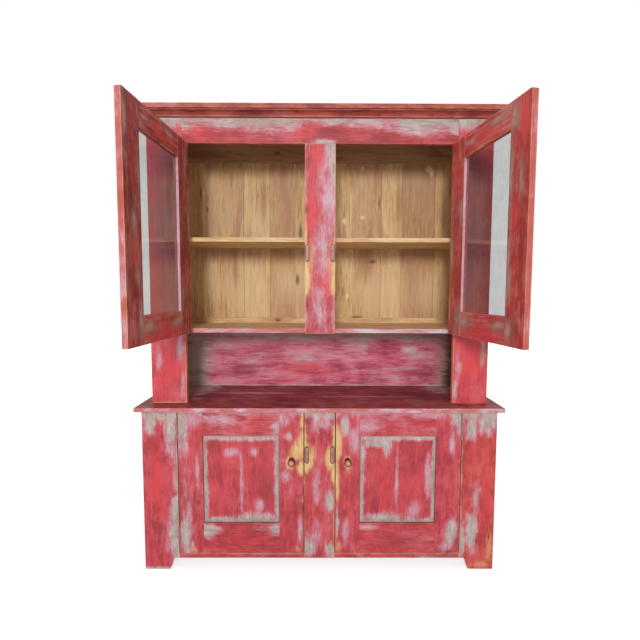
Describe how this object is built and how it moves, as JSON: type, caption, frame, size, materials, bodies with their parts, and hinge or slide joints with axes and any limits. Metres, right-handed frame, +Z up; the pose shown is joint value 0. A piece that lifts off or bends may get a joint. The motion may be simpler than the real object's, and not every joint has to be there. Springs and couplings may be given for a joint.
{
  "type": "kitchen buffet",
  "caption": "Two-part painted step-back cupboard: panelled doors below, counter with open niche, glazed doors on butt hinges above, knobs and turn buttons.",
  "frame": {"origin": "on the floor, at the middle of the back (the wall side)", "axes": "+Z up, +Y towards the wall behind, +X to the right as seen from the front"},
  "size_m": [1.618, 0.8936, 2.02],
  "materials": {
    "case_paint": "worn red milk paint over a grey undercoat, matt",
    "door_paint": "worn red milk paint over a grey undercoat, matt",
    "crown_paint": "worn red-brown paint, matt",
    "counter_paint": "worn dark crimson paint, satin",
    "knob_paint": "worn red paint, satin",
    "button_wood": "worn painted wood",
    "bare_pine": "bare honey pine, matt",
    "pane_glass": "clear window glass",
    "hinge_iron": "painted iron, matt",
    "screw_steel": "dull steel"
  },
  "bodies": {
    "cabinet": {"back_batten": "bare_pine", "back_rail": "bare_pine", "button_screws": "screw_steel", "case_hinge_leaves": "hinge_iron", "case_hinge_screws": "hinge_iron", "counter_top": "counter_paint", "crown_cap": "crown_paint", "crown_front": "crown_paint", "crown_left_return": "crown_paint", "crown_right_return": "crown_paint", "lower_back_boards": "bare_pine", "lower_centre_stile": "case_paint", "lower_floor_board": "case_paint", "lower_left_side": "case_paint", "lower_left_stile": "case_paint", "lower_right_side": "case_paint", "lower_right_stile": "case_paint", "lower_shelf": "bare_pine", "niche_back_board": "case_paint", "upper_back_boards": "bare_pine", "upper_centre_stile": "case_paint", "upper_floor_board": "bare_pine", "upper_left_side": "case_paint", "upper_left_stile": "case_paint", "upper_right_side": "case_paint", "upper_right_stile": "case_paint", "upper_shelf": "bare_pine", "upper_top_rail": "case_paint"},
    "lower_left_door": {"lower_left_door_bottom_rail": "door_paint", "lower_left_door_hinges": "hinge_iron", "lower_left_door_knob": "knob_paint", "lower_left_door_panel": "door_paint", "lower_left_door_stiles": "door_paint", "lower_left_door_top_rail": "door_paint"},
    "lower_right_door": {"lower_right_door_bottom_rail": "door_paint", "lower_right_door_hinges": "hinge_iron", "lower_right_door_knob": "knob_paint", "lower_right_door_panel": "door_paint", "lower_right_door_stiles": "door_paint", "lower_right_door_top_rail": "door_paint"},
    "upper_left_door": {"upper_left_door_beads": "door_paint", "upper_left_door_bottom_rail": "door_paint", "upper_left_door_glass": "pane_glass", "upper_left_door_hinges": "hinge_iron", "upper_left_door_stiles": "door_paint", "upper_left_door_top_rail": "door_paint"},
    "upper_right_door": {"upper_right_door_beads": "door_paint", "upper_right_door_bottom_rail": "door_paint", "upper_right_door_glass": "pane_glass", "upper_right_door_hinges": "hinge_iron", "upper_right_door_stiles": "door_paint", "upper_right_door_top_rail": "door_paint"},
    "lower_left_button": {"lower_left_turn_button": "button_wood"},
    "lower_right_button": {"lower_right_turn_button": "button_wood"},
    "upper_left_button": {"upper_left_turn_button": "button_wood"},
    "upper_right_button": {"upper_right_turn_button": "button_wood"}
  },
  "joints": [
    {"name": "lower_left_door_hinge", "type": "hinge", "parent": "cabinet", "child": "lower_left_door", "pos_m": [-0.6207, -0.4393, 0.3935], "axis": [0, 0, -1], "range_deg": [0, 170]},
    {"name": "lower_right_door_hinge", "type": "hinge", "parent": "cabinet", "child": "lower_right_door", "pos_m": [0.6207, -0.4393, 0.3935], "axis": [0, 0, 1], "range_deg": [0, 170]},
    {"name": "upper_left_door_hinge", "type": "hinge", "parent": "cabinet", "child": "upper_left_door", "pos_m": [-0.5947, -0.3693, 1.462], "axis": [0, 0, -1], "range_deg": [-95, 75]},
    {"name": "upper_right_door_hinge", "type": "hinge", "parent": "cabinet", "child": "upper_right_door", "pos_m": [0.5947, -0.3693, 1.462], "axis": [0, 0, 1], "range_deg": [-99, 71]},
    {"name": "lower_left_button_turn", "type": "hinge", "parent": "cabinet", "child": "lower_left_button", "pos_m": [-0.056, -0.4398, 0.5335], "axis": [0, -1, 0], "continuous": true},
    {"name": "lower_right_button_turn", "type": "hinge", "parent": "cabinet", "child": "lower_right_button", "pos_m": [0.056, -0.4398, 0.5335], "axis": [0, -1, 0], "continuous": true},
    {"name": "upper_left_button_turn", "type": "hinge", "parent": "cabinet", "child": "upper_left_button", "pos_m": [-0.056, -0.3698, 1.4155], "axis": [0, -1, 0], "continuous": true},
    {"name": "upper_right_button_turn", "type": "hinge", "parent": "cabinet", "child": "upper_right_button", "pos_m": [0.056, -0.3698, 1.4155], "axis": [0, -1, 0], "continuous": true}
  ]
}
